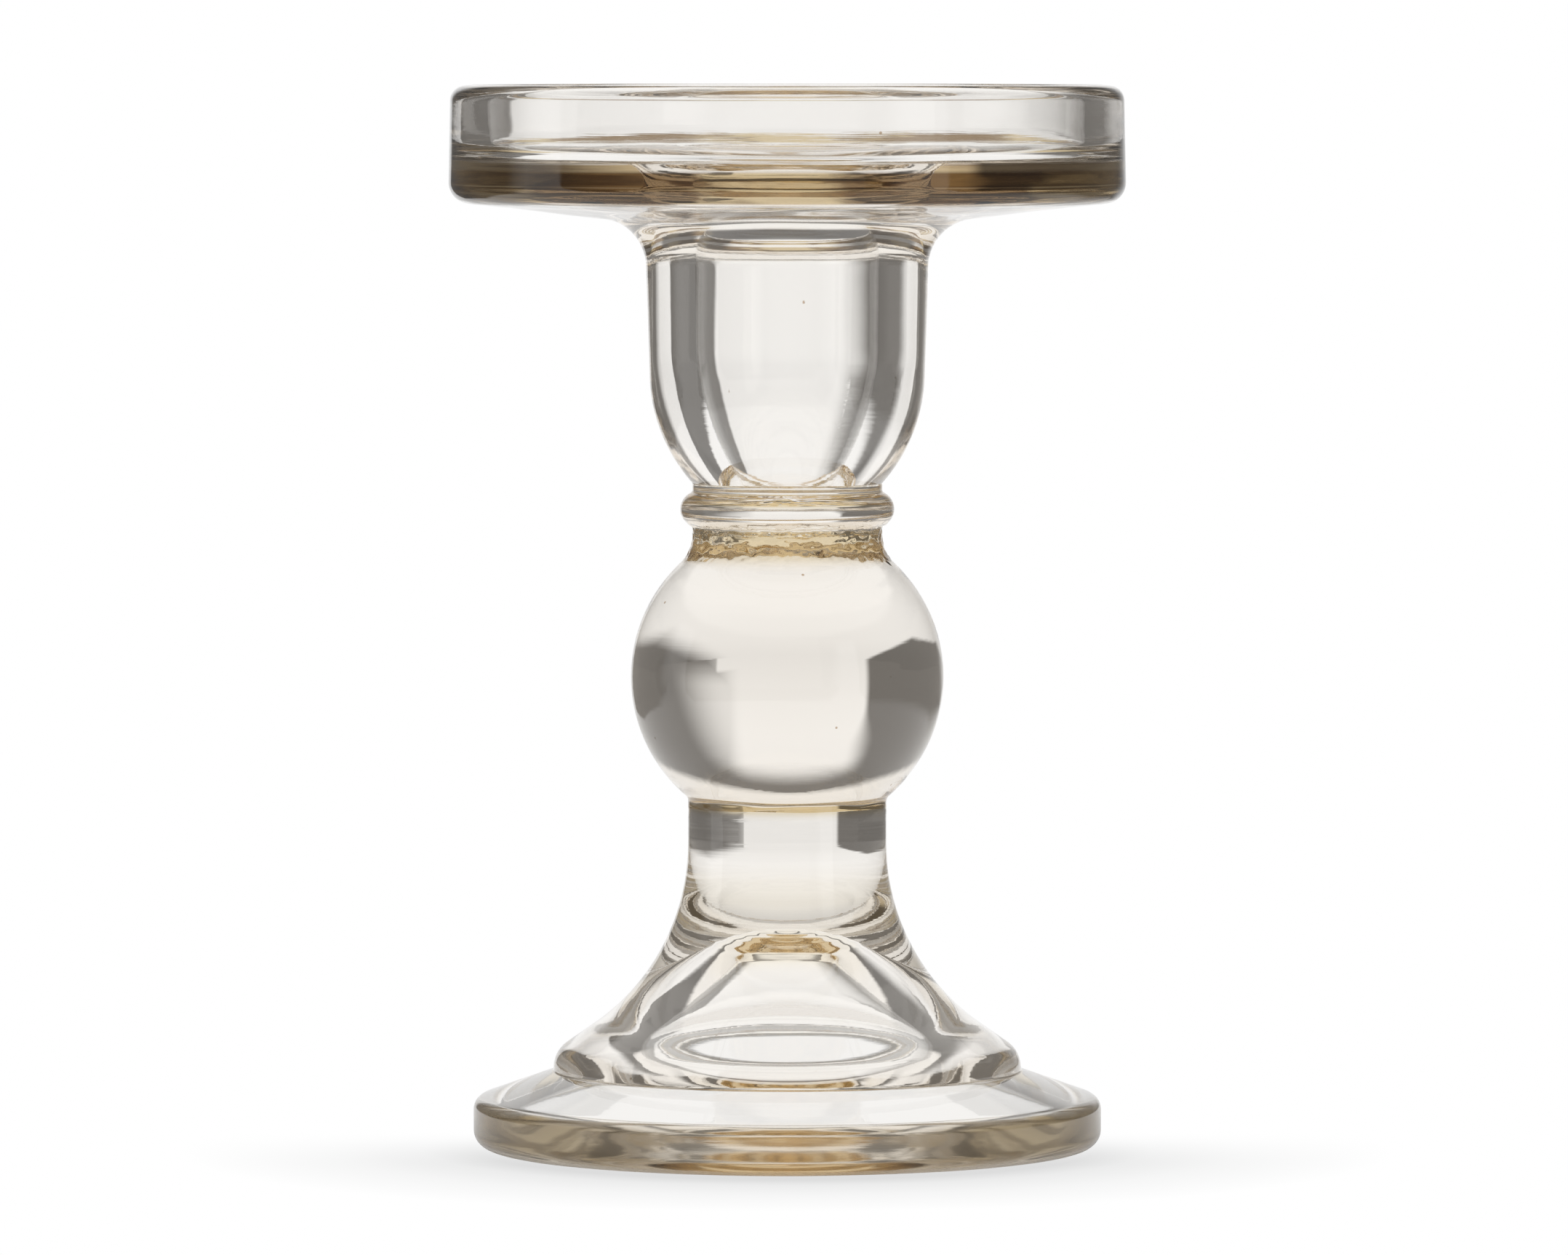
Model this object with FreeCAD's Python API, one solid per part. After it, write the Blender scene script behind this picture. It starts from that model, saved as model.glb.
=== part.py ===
"""Glass candlestick for a pillar or a taper candle, in four pressed glass pieces.

Millimetres, +Z up. The origin is the centre of the circle that the foot stands on.
Every piece is a body of revolution about Z. The pieces meet face to face on flat
seams, which lie in the creases of the stem.
"""
import FreeCAD, Part
import math
import os

# Whole object
overall_height = 140.0

# Seams between the pieces, from the table up
foot_seam_height = 45.0
ball_seam_height = 81.0
bead_seam_height = 87.6
neck_radius = 13.1
waist_radius = 12.5

# Foot
foot_radius = 41.4
foot_edge_height = 6.4
foot_bottom_rounding = 2.3
foot_edge_rounding = 1.9
flange_crease_height = 10.1
shoulder_radius = 30.85
shoulder_height = 12.5
shoulder_rounding = 3.7
flare_height = 25.0
flare_rounding = 29.0
contact_inner_radius = 37.0
contact_inner_rounding = 1.0
hollow_knee = (20.0, 9.0)
hollow_knee_rounding = 12.0
hollow_crown_radius = 4.4
hollow_crown_height = 27.1
hollow_crown_rounding = 9.0

# Ball and bead
ball_radius = 20.6
ball_centre_height = 62.1
ball_lower_fillet = 1.1
ball_upper_fillet = 5.0
bead_section_radius = 2.4
bead_section_centre_radius = 11.7
bead_centre_height = 84.2
bead_fillet = 0.5

# Cup and plate
cup_base_corner = (17.85, 93.4)
cup_base_rounding = 22.0
cup_top_radius = 18.75
plate_underside_at_cup = 121.8
plate_underside_at_rim = 124.7
under_plate_fillet = 6.45
plate_radius = 44.6
rim_lower_rounding = 2.8
rim_top_radius = 44.3
rim_outer_edge_height = 139.5
rim_crown_radius = 42.0
rim_crown_rounding = 6.0
rim_edge_rounding = 2.0
dish_mouth_radius = 39.5
dish_floor_radius = 39.1
dish_floor_height = 129.9
dish_floor_fillet = 2.6

# Taper candle socket
socket_mouth_radius = 12.8
socket_mouth_rounding = 2.8
socket_radius = 12.0
socket_throat_height = 116.0
socket_throat_rounding = 40.0
socket_taper_height = 96.4
socket_taper_rounding = 25.5
socket_bottom_radius = 5.6
socket_bottom_height = 88.6
socket_bottom_rounding = 2.0


def point(radius, height):
    """A point of an outline: distance from the axis, and height."""
    return FreeCAD.Vector(radius, 0, height)


def rounded_outline(corners):
    """Open outline through (radius, height, rounding) corners, with tangent arcs."""
    edges = []
    last = point(*corners[0][:2])
    for before, corner, after in zip(corners, corners[1:], corners[2:]):
        here = point(*corner[:2])
        back = (point(*before[:2]) - here).normalize()
        onward = (point(*after[:2]) - here).normalize()
        half_angle = back.getAngle(onward) / 2
        reach = corner[2] / math.tan(half_angle)
        start = here + back * reach
        if (start - last).Length > 1e-6:
            edges.append(Part.LineSegment(last, start).toShape())
        last = start
        if corner[2] > 0:
            inward = (back + onward).normalize()
            middle = here + inward * (corner[2] / math.sin(half_angle) - corner[2])
            last = here + onward * reach
            edges.append(Part.Arc(start, middle, last).toShape())
    edges.append(Part.LineSegment(last, point(*corners[-1][:2])).toShape())
    return edges


def neck_to_bulge(neck, fillet, bulge_centre, bulge_radius, side):
    """Fillet arc from a straight neck onto a round bulge.

    side is +1 above the bulge and -1 below it. Returns the arc's points, from
    the neck to the bulge.
    """
    fillet_centre = point(neck + fillet, 0)
    across = fillet_centre.x - bulge_centre.x
    rise = math.sqrt((bulge_radius + fillet) ** 2 - across ** 2)
    fillet_centre.z = bulge_centre.z + side * rise
    on_neck = fillet_centre - point(fillet, 0)
    to_bulge = (bulge_centre - fillet_centre).normalize()
    on_bulge = fillet_centre + to_bulge * fillet
    towards_middle = (to_bulge + point(-1, 0)).normalize()
    middle = fillet_centre + towards_middle * fillet
    return on_neck, middle, on_bulge


def bulge_outline(bottom, top, bulge_centre, bulge_radius, lower_fillet, upper_fillet):
    """Neck, fillet, round bulge, fillet and neck, between two (radius, height) ends."""
    low = neck_to_bulge(bottom[0], lower_fillet, bulge_centre, bulge_radius, -1)
    high = neck_to_bulge(top[0], upper_fillet, bulge_centre, bulge_radius, 1)
    widest = bulge_centre + point(bulge_radius, 0)
    return [
        Part.LineSegment(point(*bottom), low[0]).toShape(),
        Part.Arc(*low).toShape(),
        Part.Arc(low[2], widest, high[2]).toShape(),
        Part.Arc(high[2], high[1], high[0]).toShape(),
        Part.LineSegment(high[0], point(*top)).toShape(),
    ]


def turned(outline):
    """Solid of revolution of an outline that starts and ends on the axis."""
    start = outline[0].firstVertex(True).Point
    end = outline[-1].lastVertex(True).Point
    axis_edge = Part.LineSegment(end, start).toShape()
    face = Part.Face(Part.Wire(outline + [axis_edge]))
    return face.revolve(FreeCAD.Vector(0, 0, 0), FreeCAD.Vector(0, 0, 1), 360)


def with_seams(outline, bottom, top):
    """Close a bulge's outline with its two flat seams, down to the axis."""
    lower = Part.LineSegment(point(0, bottom[1]), point(*bottom)).toShape()
    upper = Part.LineSegment(point(*top), point(0, top[1])).toShape()
    return [lower] + outline + [upper]


def pedestal_foot():
    """Neck, flared dome and flange, hollow underneath."""
    return turned(rounded_outline([
        (0, foot_seam_height, 0),
        (neck_radius, foot_seam_height, 0),
        (neck_radius, flare_height, flare_rounding),
        (shoulder_radius, shoulder_height, shoulder_rounding),
        (shoulder_radius, flange_crease_height, 0),
        (foot_radius, foot_edge_height, foot_edge_rounding),
        (foot_radius, 0, foot_bottom_rounding),
        (contact_inner_radius, 0, contact_inner_rounding),
        (*hollow_knee, hollow_knee_rounding),
        (hollow_crown_radius, hollow_crown_height, hollow_crown_rounding),
        (0, hollow_crown_height, 0),
    ]))


def ball_knop():
    """Solid ball between the neck of the foot and the waist under the bead."""
    bottom = (neck_radius, foot_seam_height)
    top = (waist_radius, ball_seam_height)
    centre = point(0, ball_centre_height)
    outline = bulge_outline(bottom, top, centre, ball_radius, ball_lower_fillet, ball_upper_fillet)
    return turned(with_seams(outline, bottom, top))


def bead_collar():
    """Thin solid ring of glass between the ball and the cup."""
    bottom = (waist_radius, ball_seam_height)
    top = (waist_radius, bead_seam_height)
    centre = point(bead_section_centre_radius, bead_centre_height)
    outline = bulge_outline(bottom, top, centre, bead_section_radius, bead_fillet, bead_fillet)
    return turned(with_seams(outline, bottom, top))


def plate_and_cup():
    """Rimmed plate for a pillar candle, on a thick cup with the taper socket in it."""
    return turned(rounded_outline([
        (0, bead_seam_height, 0),
        (waist_radius, bead_seam_height, 0),
        (*cup_base_corner, cup_base_rounding),
        (cup_top_radius, plate_underside_at_cup, under_plate_fillet),
        (plate_radius, plate_underside_at_rim, rim_lower_rounding),
        (rim_top_radius, rim_outer_edge_height, rim_edge_rounding),
        (rim_crown_radius, overall_height, rim_crown_rounding),
        (dish_mouth_radius, overall_height, rim_edge_rounding),
        (dish_floor_radius, dish_floor_height, dish_floor_fillet),
        (socket_mouth_radius, dish_floor_height, socket_mouth_rounding),
        (socket_radius, socket_throat_height, socket_throat_rounding),
        (socket_radius, socket_taper_height, socket_taper_rounding),
        (socket_bottom_radius, socket_bottom_height, socket_bottom_rounding),
        (0, socket_bottom_height, 0),
    ]))


pieces = {
    "pedestal_foot": pedestal_foot(),
    "ball_knop": ball_knop(),
    "bead_collar": bead_collar(),
    "plate_and_cup": plate_and_cup(),
}

os.makedirs("parts", exist_ok=True)
for name, piece in pieces.items():
    piece.exportStep("parts/" + name + ".step")
    print(f"{name}: valid {piece.isValid()}, volume {piece.Volume / 1000:.1f} cm3")
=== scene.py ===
import math

import bmesh
import bpy
import numpy as np
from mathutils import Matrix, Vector, noise


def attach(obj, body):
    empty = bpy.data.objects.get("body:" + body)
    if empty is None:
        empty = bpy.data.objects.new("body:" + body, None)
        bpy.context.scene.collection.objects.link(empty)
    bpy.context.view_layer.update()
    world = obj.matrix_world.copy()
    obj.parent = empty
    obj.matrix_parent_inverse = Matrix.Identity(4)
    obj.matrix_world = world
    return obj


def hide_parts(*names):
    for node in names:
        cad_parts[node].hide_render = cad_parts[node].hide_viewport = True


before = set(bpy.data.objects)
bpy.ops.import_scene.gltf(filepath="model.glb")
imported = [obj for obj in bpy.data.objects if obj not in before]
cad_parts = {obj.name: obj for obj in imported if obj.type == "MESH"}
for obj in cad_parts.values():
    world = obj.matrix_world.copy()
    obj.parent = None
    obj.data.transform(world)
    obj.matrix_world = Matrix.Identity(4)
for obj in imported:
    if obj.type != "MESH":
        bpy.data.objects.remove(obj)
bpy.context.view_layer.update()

# ---------------------------------------------------------------- dimensions
# Millimetres, as in the CAD model. Every corner is (radius, height, rounding).
FOOT_SEAM = 45.0
BALL_SEAM = 81.0
BEAD_SEAM = 87.6
NECK_RADIUS = 13.1
WAIST_RADIUS = 12.5

FOOT_OUTSIDE = [
    (NECK_RADIUS, FOOT_SEAM, 0),
    (NECK_RADIUS, 25.0, 29.0),
    (30.85, 12.5, 3.7),
    (30.85, 10.1, 0.35),
    (41.4, 6.4, 1.9),
    (41.4, 0, 2.3),
]
FOOT_HOLLOW = [
    (37.0, 0, 1.0),
    (20.0, 9.0, 12.0),
    (4.4, 27.1, 9.0),
    (0, 27.1, 0),
]
CUP_OUTSIDE = [
    (17.85, 93.4, 22.0),
    (18.75, 121.8, 6.45),
    (44.6, 124.7, 2.8),
    (44.3, 139.5, 2.0),
    (42.0, 140.0, 6.0),
    (39.5, 140.0, 2.0),
    (39.1, 129.9, 2.6),
]
CUP_SOCKET = [
    (12.8, 129.9, 2.8),
    (12.0, 116.0, 40.0),
    (12.0, 96.4, 25.5),
    (5.6, 88.6, 2.0),
    (0, 88.6, 0),
]
BALL = dict(centre=(0, 62.1), radius=20.6, fillets=(1.1, 5.0))
BEAD = dict(centre=(11.7, 84.2), radius=2.4, fillets=(0.5, 0.5))

MM = 0.001
METRES_TO_MM = (1000, 1000, 1000)

# Fineness of the meshes: segments round the axis, and mm along an outline.
SEGMENTS = 256
FINE_SEGMENTS = 384
RING_STEP = 0.5
FINE_STEP = 0.25
WIDEST_STEP = 0.35
SEAM_STEP = 1.5
LEAST_ARC_STEPS = 5
ARC_STEP_ANGLE = 0.14
CREASE_ANGLE = math.radians(32)

# Gap between two pieces at a seam, and how near a flat face is to count as one.
SEAM_GAP = 0.012
SEAM_REACH = 0.05
FLAT = 0.999
TOUCHING = 1e-6
SHORTEST_RUN = 1e-4

# Unevenness of the glass, as (mm in or out, change across, change up, number). The
# changes are per mm, and the number tells one pattern from another.
SLOW_WAVE = (0.032, 0.055, 0.088, 1)
FINE_WAVE = (0.009, 0.17, 0.221, 2)
DRAG_LINE = (0.006, 0.035, 0.9, 3)
PUCKER = (0.11, 0.75, 1.5, 4)
SMALL_PUCKER = (0.05, 1.7, 3.0, 5)
PUCKER_EDGE = (0.9, 0.5, 0, 1)
FOLD = (0.12, 0.16, 0.75, 6)
PLATE_SWIRL = (0.16, 0.085, 0.0425, 7)
NOISE_OFFSET = Vector((3.7, 11.2, 23.9))
CROWN_RING = 0.085
CROWN_RING_PITCH = 1.35

# Where the unevenness comes in and goes out, in mm of height or radius.
PUCKERS_START = 77.3
PUCKERS_RISE = 0.7
PUCKERS_OUT = (82.0, 82.9)
FOLDS_IN = (43.4, 44.6)
FOLDS_OUT = (47.5, 50.5)
CROWN_RINGS_MIDDLE = (0, 0.8)
CROWN_RINGS_OUT = (6.5, 8.5)
CROWN_RINGS_HEIGHT = (23.0, 25.5)
SWIRL_IN = (15.5, 19.5)
SWIRL_OUT = (36.0, 40.0)
SWIRL_HEIGHT = (119.5, 122.0)


# ------------------------------------------------------------------ outlines
def arc(centre, radius, start, end, step=RING_STEP):
    """Points of an arc about centre, the short way from start to end."""
    a = math.atan2(start[1] - centre[1], start[0] - centre[0])
    b = math.atan2(end[1] - centre[1], end[0] - centre[0])
    turn = (b - a + math.pi) % (2 * math.pi) - math.pi
    count = max(LEAST_ARC_STEPS, math.ceil(abs(turn) * radius / step),
                math.ceil(abs(turn) / ARC_STEP_ANGLE))
    return [
        Vector((centre[0] + radius * math.cos(a + turn * i / count),
                centre[1] + radius * math.sin(a + turn * i / count)))
        for i in range(count + 1)
    ]


def rounded(corners):
    """Outline through corners, each turned on an arc of its own rounding."""
    points = [Vector(corners[0][:2])]
    for before, corner, after in zip(corners, corners[1:], corners[2:]):
        here = Vector(corner[:2])
        back = (Vector(before[:2]) - here).normalized()
        onward = (Vector(after[:2]) - here).normalized()
        half = back.angle(onward) / 2
        reach = corner[2] / math.tan(half)
        centre = here + (back + onward).normalized() * (corner[2] / math.sin(half))
        points += arc(centre, corner[2], here + back * reach, here + onward * reach)
    points.append(Vector(corners[-1][:2]))
    return points


def fillet_to_bulge(neck, fillet, centre, radius, side):
    """Centre of the fillet between a straight neck and a round bulge, and its end.

    side is +1 above the bulge and -1 below it.
    """
    x = neck + fillet
    rise = math.sqrt((radius + fillet) ** 2 - (x - centre[0]) ** 2)
    middle = Vector((x, centre[1] + side * rise))
    end = middle + (Vector(centre) - middle).normalized() * fillet
    return middle, end


def bulge(bottom, top, centre, radius, fillets):
    """Neck, fillet, round bulge, fillet and neck, from bottom to top."""
    low, low_end = fillet_to_bulge(bottom[0], fillets[0], centre, radius, -1)
    high, high_end = fillet_to_bulge(top[0], fillets[1], centre, radius, 1)
    widest = Vector((centre[0] + radius, centre[1]))
    low_start = low - Vector((fillets[0], 0))
    high_start = high - Vector((fillets[1], 0))
    points = [Vector(bottom)]
    points += arc(low, fillets[0], low_start, low_end, FINE_STEP)
    points += arc(centre, radius, low_end, widest)[1:]
    points += arc(centre, radius, widest, high_end, WIDEST_STEP)[1:]
    points += arc(high, fillets[1], high_end, high_start, FINE_STEP)[1:]
    points.append(Vector(top))
    return points


def refined(points, step=RING_STEP):
    """The same outline with its long straight runs divided."""
    result = [points[0]]
    for start, end in zip(points, points[1:]):
        length = (end - start).length
        if length < SHORTEST_RUN:
            continue
        count = max(1, math.ceil(length / step))
        result += [start.lerp(end, (i + 1) / count) for i in range(count)]
    return result


def seam_out(radius, height):
    """Points along a flat seam, from the axis to just short of its rim."""
    return refined([Vector((0, height)), Vector((radius, height))], SEAM_STEP)[:-1]


def seam_in(radius, height):
    """Points along a flat seam, from just inside its rim to the axis."""
    return refined([Vector((radius, height)), Vector((0, height))], SEAM_STEP)[1:]


# ---------------------------------------------------------------- unevenness
def smooth(value, start, end):
    """0 before start and 1 after end, with a soft step between them."""
    t = min(1.0, max(0.0, (value - start) / (end - start)))
    return t * t * (3 - 2 * t)


def wave(p, depth, across, up, number):
    """Smooth noise at a place, from about -depth to depth."""
    place = Vector((p.x * across, p.y * across, p.z * up))
    return depth * noise.noise(place + NOISE_OFFSET * number)


def skin(p):
    """Slow waves of the fire-polished skin and faint drag lines round it."""
    return wave(p, *SLOW_WAVE) + wave(p, *FINE_WAVE) + wave(p, *DRAG_LINE)


def puckers(p):
    """Puckered glass round the waist, where the hot ball was pinched."""
    start = PUCKERS_START + wave(p, *PUCKER_EDGE)
    zone = smooth(p.z, start, start + PUCKERS_RISE) * (1 - smooth(p.z, *PUCKERS_OUT))
    return zone * (wave(p, *PUCKER) + wave(p, *SMALL_PUCKER))


def folds(p):
    """Long shallow folds at the ball's foot, where it sits on the neck."""
    zone = smooth(p.z, *FOLDS_IN) * (1 - smooth(p.z, *FOLDS_OUT))
    return zone * wave(p, *FOLD)


def crown_rings(p):
    """Turned rings in the crown of the hollow foot."""
    radius = math.hypot(p.x, p.y)
    zone = smooth(radius, *CROWN_RINGS_MIDDLE) * (1 - smooth(radius, *CROWN_RINGS_OUT))
    zone *= smooth(p.z, *CROWN_RINGS_HEIGHT)
    return zone * CROWN_RING * math.sin(radius * 2 * math.pi / CROWN_RING_PITCH)


def plate_swirl(p):
    """Broad unevenness of the plate's floor and underside."""
    radius = math.hypot(p.x, p.y)
    zone = smooth(radius, *SWIRL_IN) * (1 - smooth(radius, *SWIRL_OUT))
    return zone * smooth(p.z, *SWIRL_HEIGHT) * wave(p, *PLATE_SWIRL)


# -------------------------------------------------------------------- meshes
def outward_at(outline, i, seams):
    """Direction in which unevenness moves point i. It never tilts a flat seam."""
    here = outline[i]
    before = outline[max(0, i - 1)]
    after = outline[min(len(outline) - 1, i + 1)]
    if any(abs(here.y - seam) < TOUCHING for seam in seams):
        on_wall = abs(before.y - here.y) > TOUCHING or abs(after.y - here.y) > TOUCHING
        return Vector((1.0 if on_wall else 0.0, 0))
    along = (after - before).normalized()
    return Vector((along.y, -along.x))


def ring_points(p, outward, details, segments):
    """One ring of the mesh, moved in or out by the details at each place."""
    points = []
    for k in range(segments):
        angle = 2 * math.pi * k / segments
        flat = Vector((math.cos(angle), math.sin(angle), 0))
        place = flat * p.x + Vector((0, 0, p.y))
        push = sum(detail(place) for detail in details)
        points.append(place + (flat * outward.x + Vector((0, 0, outward.y))) * push)
    return points


def joined(low, high, segments):
    """Faces between two rings, either of which may be a single point on the axis."""
    faces = []
    for k in range(segments):
        after = (k + 1) % segments
        if len(low) == 1:
            faces.append((low[0], high[after], high[k]))
        elif len(high) == 1:
            faces.append((low[k], low[after], high[0]))
        else:
            faces.append((low[k], low[after], high[after], high[k]))
    return faces


def seam_marks(mesh, seams):
    """1.0 for each face that lies on a flat seam, and 0.0 for the others."""
    marks = []
    for polygon in mesh.polygons:
        height = polygon.center.z / MM
        near = any(abs(height - seam) < SEAM_REACH for seam in seams)
        marks.append(1.0 if near and abs(polygon.normal.z) > FLAT else 0.0)
    return np.array(marks, np.float32)


def turned(name, outline, seams, details, segments=SEGMENTS):
    """Closed mesh of an outline turned about Z. seams are heights of flat joints."""
    vertices = []
    rings = []
    for i, p in enumerate(outline):
        first = len(vertices)
        if p.x < TOUCHING:
            vertices.append(Vector((0, 0, p.y)))
        else:
            vertices += ring_points(p, outward_at(outline, i, seams), details, segments)
        rings.append(range(first, len(vertices)))
    faces = []
    for low, high in zip(rings, rings[1:]):
        faces += joined(low, high, segments)
    mesh = bpy.data.meshes.new(name)
    mesh.from_pydata([v * MM for v in vertices], [], faces)
    work = bmesh.new()
    work.from_mesh(mesh)
    bmesh.ops.recalc_face_normals(work, faces=work.faces)
    work.to_mesh(mesh)
    work.free()
    mesh.shade_smooth()
    mesh.set_sharp_from_angle(angle=CREASE_ANGLE)
    marks = mesh.attributes.new("seam", "FLOAT", "FACE")
    marks.data.foreach_set("value", seam_marks(mesh, seams))
    piece = bpy.data.objects.new(name, mesh)
    bpy.context.scene.collection.objects.link(piece)
    return piece


def bulge_outline(bottom, top, shape, step=RING_STEP):
    """Closed outline of a piece that lies between two flat seams."""
    return seam_out(*bottom) + refined(bulge(bottom, top, **shape), step) + seam_in(*top)


above_foot = FOOT_SEAM + SEAM_GAP
above_ball = BALL_SEAM + SEAM_GAP
above_bead = BEAD_SEAM + SEAM_GAP

foot_outline = refined(rounded(FOOT_OUTSIDE + FOOT_HOLLOW))[::-1] + seam_in(NECK_RADIUS, FOOT_SEAM)
ball_outline = bulge_outline((NECK_RADIUS, above_foot), (WAIST_RADIUS, BALL_SEAM), BALL)
bead_outline = bulge_outline((WAIST_RADIUS, above_ball), (WAIST_RADIUS, BEAD_SEAM), BEAD, FINE_STEP)
cup_corners = [(WAIST_RADIUS, above_bead, 0)] + CUP_OUTSIDE + CUP_SOCKET
cup_outline = seam_out(WAIST_RADIUS, above_bead) + refined(rounded(cup_corners))

pieces = {
    "pedestal_foot": turned("glass_foot", foot_outline, [FOOT_SEAM], [skin, folds, crown_rings]),
    "ball_knop": turned("glass_ball", ball_outline, [above_foot, BALL_SEAM],
                        [skin, puckers, folds], FINE_SEGMENTS),
    "bead_collar": turned("glass_bead", bead_outline, [above_ball, BEAD_SEAM],
                          [skin, puckers], FINE_SEGMENTS),
    "plate_and_cup": turned("glass_plate_and_cup", cup_outline, [above_bead],
                            [skin, plate_swirl]),
}


# --------------------------------------------------------------- node graphs
class Graph:
    """Adds nodes to a tree. Each call returns the new node's output socket."""

    def __init__(self, tree):
        tree.nodes.clear()
        self.nodes = tree.nodes
        self.links = tree.links

    def put(self, socket, value):
        if isinstance(value, bpy.types.NodeSocket):
            self.links.new(value, socket)
        else:
            socket.default_value = value

    def node(self, kind, inputs, output=0, **settings):
        made = self.nodes.new(kind)
        for key, value in settings.items():
            setattr(made, key, value)
        for key, value in inputs.items():
            self.put(made.inputs[key], value)
        return None if output is None else made.outputs[output]

    def math(self, operation, *values):
        return self.node("ShaderNodeMath", dict(enumerate(values)), operation=operation)

    def times(self, *values):
        product = values[0]
        for value in values[1:]:
            product = self.math("MULTIPLY", product, value)
        return product

    def fade(self, value, start, end, low=0.0, high=1.0):
        """A soft step from low at start to high at end."""
        inputs = {"Value": value, "From Min": start, "From Max": end, "To Min": low, "To Max": high}
        return self.node("ShaderNodeMapRange", inputs, interpolation_type="SMOOTHSTEP")

    def ramp(self, value, span, stops):
        """Colour by value, with stops of (value, colour or grey) from 0 to span."""
        made = self.nodes.new("ShaderNodeValToRGB")
        self.links.new(self.math("DIVIDE", value, span), made.inputs["Fac"])
        bands = made.color_ramp.elements
        while len(bands) < len(stops):
            bands.new(0.5)
        for band, (place, colour) in zip(bands, stops):
            band.position = place / span
            band.color = colour if isinstance(colour, tuple) else (colour, colour, colour, 1)
        return made.outputs["Color"]

    def blend(self, factor, first, second):
        made = self.nodes.new("ShaderNodeMix")
        made.data_type = "RGBA"
        for key, value in ((0, factor), (6, first), (7, second)):
            self.put(made.inputs[key], value)
        return made.outputs[2]

    def scaled(self, vector, by):
        return self.node("ShaderNodeVectorMath", {0: vector, 1: by}, operation="MULTIPLY")

    def noise(self, vector, detail, distortion=0.0):
        inputs = {"Vector": vector, "Scale": 1.0, "Detail": detail, "Distortion": distortion}
        return self.node("ShaderNodeTexNoise", inputs)

    def axes(self, place):
        return self.node("ShaderNodeSeparateXYZ", {0: place}).node.outputs

    def object_mm(self):
        """Place on the object, in mm."""
        return self.scaled(self.node("ShaderNodeTexCoord", {}, "Object"), METRES_TO_MM)

    def radius(self, x, y):
        return self.math("SQRT", self.math("ADD", self.times(x, x), self.times(y, y)))


def new_material(name):
    material = bpy.data.materials.new(name)
    material.use_nodes = True
    return material, Graph(material.node_tree)


# --------------------------------------------------------------------- glass
CLEAR = (0.995, 0.990, 0.980, 1)
WARM = (0.95, 0.92, 0.85, 1)
GOLD = (0.82, 0.70, 0.48, 1)
OLIVE = (0.31, 0.23, 0.10, 1)
# Pale straw of the foot's edge, where a highlight is painted at its front and back.
STRAW_HIGHLIGHT = (0.97, 0.93, 0.84, 1)
AMBER = (0.50, 0.35, 0.15, 1)
UMBER = (0.09, 0.045, 0.015, 1)
CROWN = (0.99, 0.96, 0.88, 1)
SPECK = (0.35, 0.22, 0.12, 1)

HEIGHT = 140.0
INDEX = 1.5
DEPTH_COLOUR = (0.74, 0.61, 0.42, 1)
DEPTH_DENSITY = 8.0
RELIEF_DEPTH = 0.000006
HANDLED_ROUGHNESS = 0.05
EDGE_ROUGHNESS = 0.13
CONTACT_ROUGHNESS = 0.5

# How fast each pattern changes in X, Y and Z, per mm.
STREAK_SCALE = (0.055, 0.055, 0.34)
SWIRL_SCALE = (0.06, 0.06, 0.20)
SEED_SCALE = (0.13, 0.13, 0.13)
DRAG_SCALE = (0.03, 0.03, 1.7)
GRAIN_SCALE = (0.35, 0.35, 0.35)
HANDLED_SCALE = (0.06, 0.06, 0.06)

# Where each tint or finish comes in, from none to full, in mm of height or radius.
EDGE_RADIUS = (40.2, 41.6)
FOOT_EDGE_TOP = (6.0, 7.0)
PLATE_BAND_BOTTOM = (124.70, 124.95)
PLATE_BAND_TOP = (129.3, 128.7)
CROWN_RADIUS = (9.5, 6.5)
CROWN_BOTTOM = (21, 25)
CROWN_TOP = (28.5, 27.5)
WORN_RADIUS = (36.0, 37.0)
WORN_HEIGHT = (7.0, 6.2)
CONTACT_HEIGHT = (0.9, 0.3)

# Range of a pattern's value over which its effect comes in.
STREAK_RANGE = (0.40, 0.72)
PALE_RANGE = (0.25, 1.0)
SEED_RANGE = (0.034, 0.018)
HANDLED_RANGE = (0.35, 0.75)

PLATE_TURNS = 6.0
PLATE_TURN_STRENGTH = 0.28
# Two turns put the foot edge's painted highlight at the front and the back.
FOOT_TURNS = 2.0
TURN_STRAY = 0.45
STREAK_DISTORTION = 1.6
GRAIN_SHARE = 0.5

# Tint up the stem, as (height in mm, colour): flare, ball's foot and waist.
STEM_TINTS = [
    (0, CLEAR), (27, CLEAR), (29.5, WARM), (33, WARM), (36.5, CLEAR),
    (44.1, CLEAR), (44.8, GOLD), (45.3, GOLD), (46.1, CLEAR),
    (76.8, CLEAR), (78.2, GOLD), (81.4, GOLD), (82.4, CLEAR),
]


def plate_streaks(graph, place, azimuth):
    """Brown and gold streaks in the plate's edge, darker and lighter by turns round it."""
    streaks = graph.noise(graph.scaled(place, STREAK_SCALE), 4.0, STREAK_DISTORTION)
    turns = graph.math("COSINE", graph.times(azimuth, PLATE_TURNS))
    light = graph.math("ADD", streaks, graph.times(turns, PLATE_TURN_STRENGTH))
    return graph.blend(graph.fade(light, *STREAK_RANGE), UMBER, AMBER)


def foot_edge(graph, azimuth):
    """Olive edge of the foot, paler at the front and the back: a painted highlight."""
    turns = graph.math("COSINE", graph.times(azimuth, FOOT_TURNS))
    return graph.blend(graph.fade(turns, *PALE_RANGE), OLIVE, STRAW_HIGHLIGHT)


def strayed_azimuth(graph, place, x, y):
    """Angle round the axis from the front, bent a little by noise."""
    swirl = graph.noise(graph.scaled(place, SWIRL_SCALE), 1.0)
    stray = graph.times(graph.math("SUBTRACT", swirl, 0.5), TURN_STRAY)
    return graph.math("ADD", graph.math("ARCTAN2", x, graph.times(y, -1.0)), stray)


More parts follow.
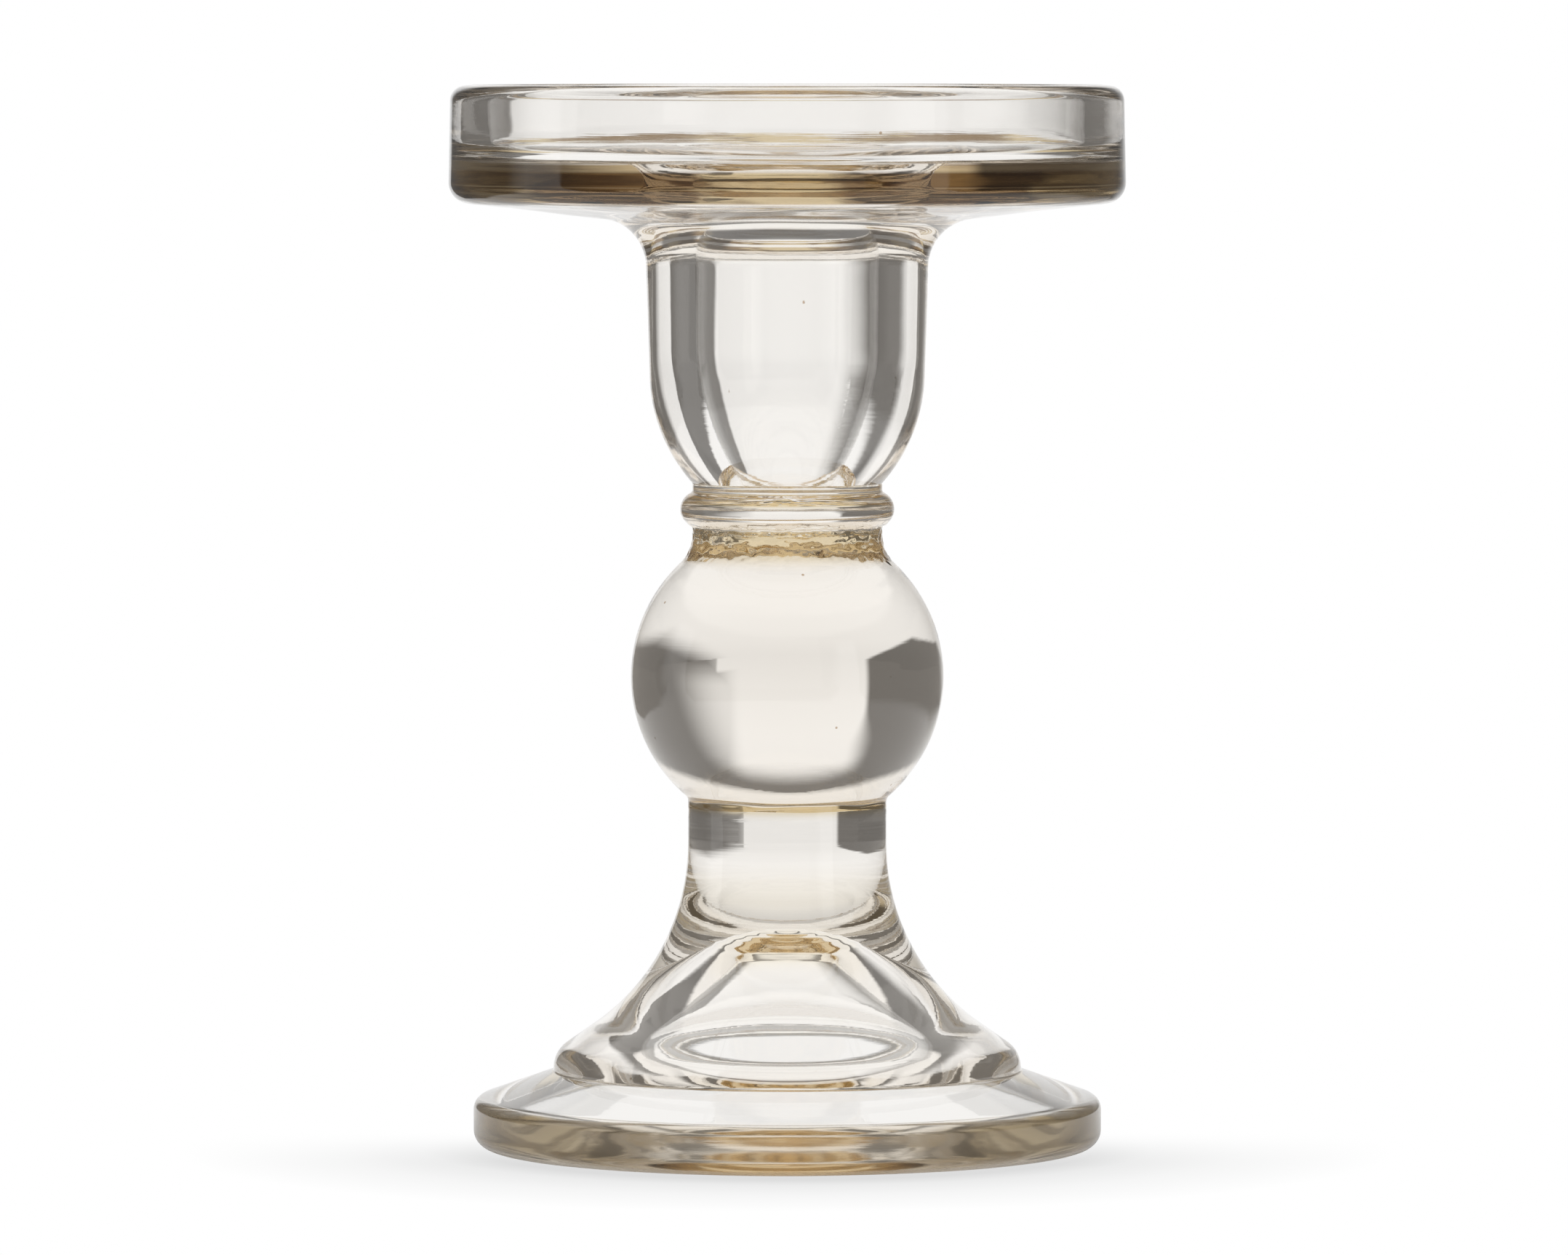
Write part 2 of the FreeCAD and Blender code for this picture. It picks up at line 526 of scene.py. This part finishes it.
def glass_tint(graph, place):
    """Tint by place: the glass is gold and brown where light runs a long way in it, with a painted
    highlight on the foot's edge.
    """
    x, y, z = graph.axes(place)
    radius = graph.radius(x, y)
    azimuth = strayed_azimuth(graph, place, x, y)
    edge = graph.blend(graph.fade(z, *FOOT_EDGE_TOP), foot_edge(graph, azimuth), CLEAR)
    band = graph.times(graph.fade(z, *PLATE_BAND_BOTTOM), graph.fade(z, *PLATE_BAND_TOP))
    edge = graph.blend(band, edge, plate_streaks(graph, place, azimuth))
    stem = graph.ramp(z, HEIGHT, STEM_TINTS)
    tint = graph.blend(graph.fade(radius, *EDGE_RADIUS), stem, edge)
    crown = graph.times(graph.fade(radius, *CROWN_RADIUS), graph.fade(z, *CROWN_BOTTOM),
                        graph.fade(z, *CROWN_TOP))
    tint = graph.blend(crown, tint, CROWN)
    seeds = graph.node("ShaderNodeTexVoronoi", {"Vector": graph.scaled(place, SEED_SCALE),
                                                "Scale": 1.0})
    return graph.blend(graph.fade(seeds, *SEED_RANGE), tint, SPECK)


def glass_relief(graph, place):
    """Fine drag lines and grain, too small for the mesh."""
    drag = graph.noise(graph.scaled(place, DRAG_SCALE), 3.0)
    grain = graph.noise(graph.scaled(place, GRAIN_SCALE), 2.0)
    relief = graph.math("ADD", drag, graph.times(grain, GRAIN_SHARE))
    return graph.node("ShaderNodeBump", {"Height": relief, "Strength": 1.0,
                                         "Distance": RELIEF_DEPTH})


def glass_roughness(graph, place):
    """Handled patches all over, a worn edge to the foot and a ground contact ring."""
    x, y, z = graph.axes(place)
    outer = graph.fade(graph.radius(x, y), *WORN_RADIUS)
    handled = graph.noise(graph.scaled(place, HANDLED_SCALE), 5.0)
    handled = graph.fade(handled, *HANDLED_RANGE, 0.0, HANDLED_ROUGHNESS)
    worn = graph.times(graph.fade(z, *WORN_HEIGHT, 0.0, EDGE_ROUGHNESS), outer)
    contact = graph.times(graph.fade(z, *CONTACT_HEIGHT, 0.0, CONTACT_ROUGHNESS), outer)
    return graph.math("MAXIMUM", handled, graph.math("MAXIMUM", worn, contact))


def glass_material():
    """Clear glass. Its index falls to 1 on the seams, so that they don't mirror."""
    material, graph = new_material("pressed_glass")
    place = graph.object_mm()
    seam = graph.node("ShaderNodeAttribute", {}, "Fac", attribute_name="seam")
    glass = graph.node("ShaderNodeBsdfPrincipled", {
        "Base Color": glass_tint(graph, place),
        "Transmission Weight": 1.0,
        "Normal": glass_relief(graph, place),
        "Roughness": glass_roughness(graph, place),
        "IOR": graph.fade(seam, 0.0, 1.0, INDEX, 1.0)})
    depth = graph.node("ShaderNodeVolumeAbsorption", {"Color": DEPTH_COLOUR,
                                                      "Density": DEPTH_DENSITY})
    graph.node("ShaderNodeOutputMaterial", {"Surface": glass, "Volume": depth}, None)
    return material


glass = glass_material()
for node, piece in pieces.items():
    piece.data.materials.append(glass)
    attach(piece, "root")
    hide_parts(node)


# ----------------------------------------------------------- stage and light
# Clear glass is seen only by what it refracts, so the stage is all of its light:
# a white floor, pale backdrops, a bright ceiling and a dim room between them.
ROOM_GREY = (0.178, 0.170, 0.161, 1)
NEAR_ROOM = (0.42, 0.41, 0.40, 1)
CEILING = (0.95, 0.93, 0.90, 1)
CEILING_START = math.sin(math.radians(30))
CEILING_FULL = math.sin(math.radians(35))
WHITE = (1, 1, 1, 1)
# Grey of a painted shadow ring on the floor under the foot's edge, drawn and not cast.
CONTACT_SHADOW_GREY = (0.44, 0.44, 0.44, 1)

FLOOR_HEIGHT = -0.3
FLOOR_HALF = 600
FLOOR_RADIUS = 262.0
FLOOR_SPAN = 300.0
# Floor brightness by distance from the axis, as the glass sees it: painted shade round the foot and
# a painted shadow ring under its edge, drawn and not cast.
FLOOR_LIGHT = [(0, 0.93), (35.0, 0.93), (37.5, CONTACT_SHADOW_GREY), (40.5, CONTACT_SHADOW_GREY),
               (43.0, 0.62), (68.0, 0.88), (100.0, 0.97), (150.0, 1.0)]
# Painted shadow by distance from the axis, as the camera sees it, on the front side only; drawn and
# not cast.
FLOOR_SHADOW = [(0, 0.72), (41.0, 0.72), (48.0, 0.84), (60.0, 0.92), (80.0, 1.0)]
SHADOW_FRONT = (25, -25)
FLOOR_SIDES = (-60, 60)
FLOOR_SIDE_SOFTNESS = (18.0, 60.0)
FLOOR_FAR = (150, 460)
FLOOR_FAR_LIGHT = 0.90
STRIP_NEAR = (0, 10)

# Backdrops as (turn about Z in degrees, width against the first one).
BACKDROPS = [(0, 1.0), (90, 0.5), (225, 0.4)]
BACKDROP_DISTANCE = 460.0
BACKDROP_LEFT = -170.0
BACKDROP_RIGHT = 144.0
BACKDROP_FADE_START = 222.0
BACKDROP_FADE_END = 312.0
BACKDROP_SPAN = 300.0
BACKDROP_LIGHT = [(0, 0.90), (80.0, 0.97), (150.0, 1.0)]
SHEET_LEFT, SHEET_RIGHT, SHEET_TOP = -300, 420, 340

# How a bright area ends at each side of a backdrop: (start, end) of its fade, in mm
# from that side. Its right side is sharp near the floor and softer above.
STRIP_RIGHT_FADE = (90, -40)
STRIP_LEFT_FADE = (-10, 10)
LOW_RIGHT_FADE = (8, -6)
LOW_RIGHT_TOP = (34, 20)
BROAD_RIGHT_FADE = (50, -60)
FAR_RIGHT_FADE = (190, -10)
FAR_RIGHT_BOTTOM = (-15, 60)
FAR_RIGHT_LIGHT = 0.85
FAR_RIGHT_LEAN = 0.35
LEFT_SOFTNESS_HEIGHT = (95, 200)
LEFT_SOFTNESS = (10.0, 45.0)

ROOM_BEHIND = (-0.3, -0.9)


def beside(side, fade):
    """Start and end of a fade, given from one side of a backdrop."""
    return side + fade[0], side + fade[1]


def floor_strip(graph, x, y, degrees, width):
    """1 on the bright strip of floor that runs to one backdrop, and 0 beside it."""
    c = math.cos(math.radians(degrees))
    s = math.sin(math.radians(degrees))
    across = graph.math("ADD", graph.times(x, c), graph.times(y, s))
    across = graph.math("DIVIDE", across, width)
    ahead = graph.math("SUBTRACT", graph.times(y, c), graph.times(x, s))
    right = graph.fade(across, *beside(BACKDROP_RIGHT, STRIP_RIGHT_FADE))
    left = graph.fade(across, *beside(BACKDROP_LEFT, STRIP_LEFT_FADE))
    return graph.times(right, left, graph.fade(ahead, *STRIP_NEAR))


def floor_material():
    """Pale floor: bright, with painted shade round the foot, and dim beyond the stage."""
    material, graph = new_material("stage_floor")
    x, y, _ = graph.axes(graph.scaled(graph.node("ShaderNodeNewGeometry", {}), METRES_TO_MM))
    radius = graph.radius(x, y)
    seen = graph.node("ShaderNodeLightPath", {}, "Is Camera Ray")
    shadow = graph.ramp(radius, FLOOR_SPAN, FLOOR_SHADOW)
    shadow = graph.blend(graph.fade(y, *SHADOW_FRONT), WHITE, shadow)
    soft = graph.fade(x, *FLOOR_SIDES, *FLOOR_SIDE_SOFTNESS)
    lit = graph.fade(radius, graph.math("ADD", soft, FLOOR_RADIUS),
                     graph.math("SUBTRACT", FLOOR_RADIUS, soft))
    for degrees, width in BACKDROPS:
        lit = graph.math("MAXIMUM", lit, floor_strip(graph, x, y, degrees, width))
    colour = graph.blend(lit, ROOM_GREY, graph.ramp(radius, FLOOR_SPAN, FLOOR_LIGHT))
    colour = graph.blend(seen, colour, shadow)
    far = graph.fade(radius, *FLOOR_FAR, 1.0, FLOOR_FAR_LIGHT)
    light = graph.node("ShaderNodeEmission", {"Color": colour,
                                              "Strength": graph.math("MAXIMUM", far, seen)})
    graph.node("ShaderNodeOutputMaterial", {"Surface": light}, None)
    return material


def backdrop_material():
    """Bright backdrop that fades out at the top and to one side."""
    material, graph = new_material("stage_panel")
    x, _, z = graph.axes(graph.object_mm())
    soft = graph.fade(z, *LEFT_SOFTNESS_HEIGHT, *LEFT_SOFTNESS)
    left = graph.fade(x, graph.math("SUBTRACT", BACKDROP_LEFT, soft),
                      graph.math("ADD", BACKDROP_LEFT, soft))
    low_right = graph.times(graph.fade(x, *beside(BACKDROP_RIGHT, LOW_RIGHT_FADE)),
                            graph.fade(z, *LOW_RIGHT_TOP))
    broad_right = graph.fade(x, *beside(BACKDROP_RIGHT, BROAD_RIGHT_FADE))
    leaning = graph.math("ADD", x, graph.times(z, FAR_RIGHT_LEAN))
    far_right = graph.fade(leaning, *beside(BACKDROP_RIGHT, FAR_RIGHT_FADE), 0.0, FAR_RIGHT_LIGHT)
    far_right = graph.times(far_right, graph.fade(z, *FAR_RIGHT_BOTTOM))
    right = graph.math("MAXIMUM", graph.math("MAXIMUM", low_right, broad_right), far_right)
    top = graph.fade(z, BACKDROP_FADE_END, BACKDROP_FADE_START)
    shade = graph.ramp(z, BACKDROP_SPAN, BACKDROP_LIGHT)
    colour = graph.blend(graph.times(left, right, top), ROOM_GREY, shade)
    light = graph.node("ShaderNodeEmission", {"Color": colour})
    graph.node("ShaderNodeOutputMaterial", {"Surface": light}, None)
    return material


def stage_sheet(name, corners, material):
    """A flat sheet of the stage, through corners in mm."""
    mesh = bpy.data.meshes.new(name)
    mesh.from_pydata([Vector(c) * MM for c in corners], [], [tuple(range(len(corners)))])
    mesh.materials.append(material)
    sheet = bpy.data.objects.new(name, mesh)
    bpy.context.scene.collection.objects.link(sheet)
    return sheet


def floor_corners(half):
    return [(-half, -half, FLOOR_HEIGHT), (half, -half, FLOOR_HEIGHT),
            (half, half, FLOOR_HEIGHT), (-half, half, FLOOR_HEIGHT)]


def backdrop_corners():
    return [(SHEET_LEFT, BACKDROP_DISTANCE, FLOOR_HEIGHT),
            (SHEET_RIGHT, BACKDROP_DISTANCE, FLOOR_HEIGHT),
            (SHEET_RIGHT, BACKDROP_DISTANCE, SHEET_TOP),
            (SHEET_LEFT, BACKDROP_DISTANCE, SHEET_TOP)]


stage_sheet("floor", floor_corners(FLOOR_HALF), floor_material())
backdrop = backdrop_material()
for degrees, width in BACKDROPS:
    sheet = stage_sheet(f"backdrop_{degrees}", backdrop_corners(), backdrop)
    sheet.visible_camera = False
    sheet.rotation_euler.z = math.radians(degrees)
    sheet.scale.x = width


def studio_world():
    """White to the camera. To the glass, a dim room under a bright ceiling."""
    world = bpy.data.worlds.new("studio")
    world.use_nodes = True
    graph = Graph(world.node_tree)
    direction = graph.node("ShaderNodeTexCoord", {}, "Generated")
    _, ahead, upward = graph.axes(direction)
    room = graph.blend(graph.fade(ahead, *ROOM_BEHIND), ROOM_GREY, NEAR_ROOM)
    room = graph.blend(graph.fade(upward, CEILING_START, CEILING_FULL), room, CEILING)
    refracted = graph.node("ShaderNodeBackground", {"Color": room})
    direct = graph.node("ShaderNodeBackground", {"Color": WHITE})
    seen = graph.node("ShaderNodeLightPath", {}, "Is Camera Ray")
    both = graph.node("ShaderNodeMixShader", {0: seen, 1: refracted, 2: direct})
    graph.node("ShaderNodeOutputWorld", {"Surface": both}, None)
    return world


scene = bpy.context.scene
scene.world = studio_world()

# -------------------------------------------------------------------- camera
CAMERA_PLACE = Vector((-0.43, -1461.7, 144.6)) * MM
CAMERA_TARGET = Vector((-0.43, 0, 68.57)) * MM
LIGHT_BOUNCES = 32
GLOSSY_BOUNCES = 16

camera_data = bpy.data.cameras.new("camera")
camera_data.lens = 255
camera_data.sensor_width = 36
camera_data.clip_start = 0.01
camera = bpy.data.objects.new("camera", camera_data)
camera.location = CAMERA_PLACE
camera.rotation_euler = (CAMERA_TARGET - CAMERA_PLACE).to_track_quat("-Z", "Y").to_euler()
scene.collection.objects.link(camera)
scene.camera = camera

scene.view_settings.view_transform = "Standard"
scene.cycles.max_bounces = LIGHT_BOUNCES
scene.cycles.transmission_bounces = LIGHT_BOUNCES
scene.cycles.glossy_bounces = GLOSSY_BOUNCES
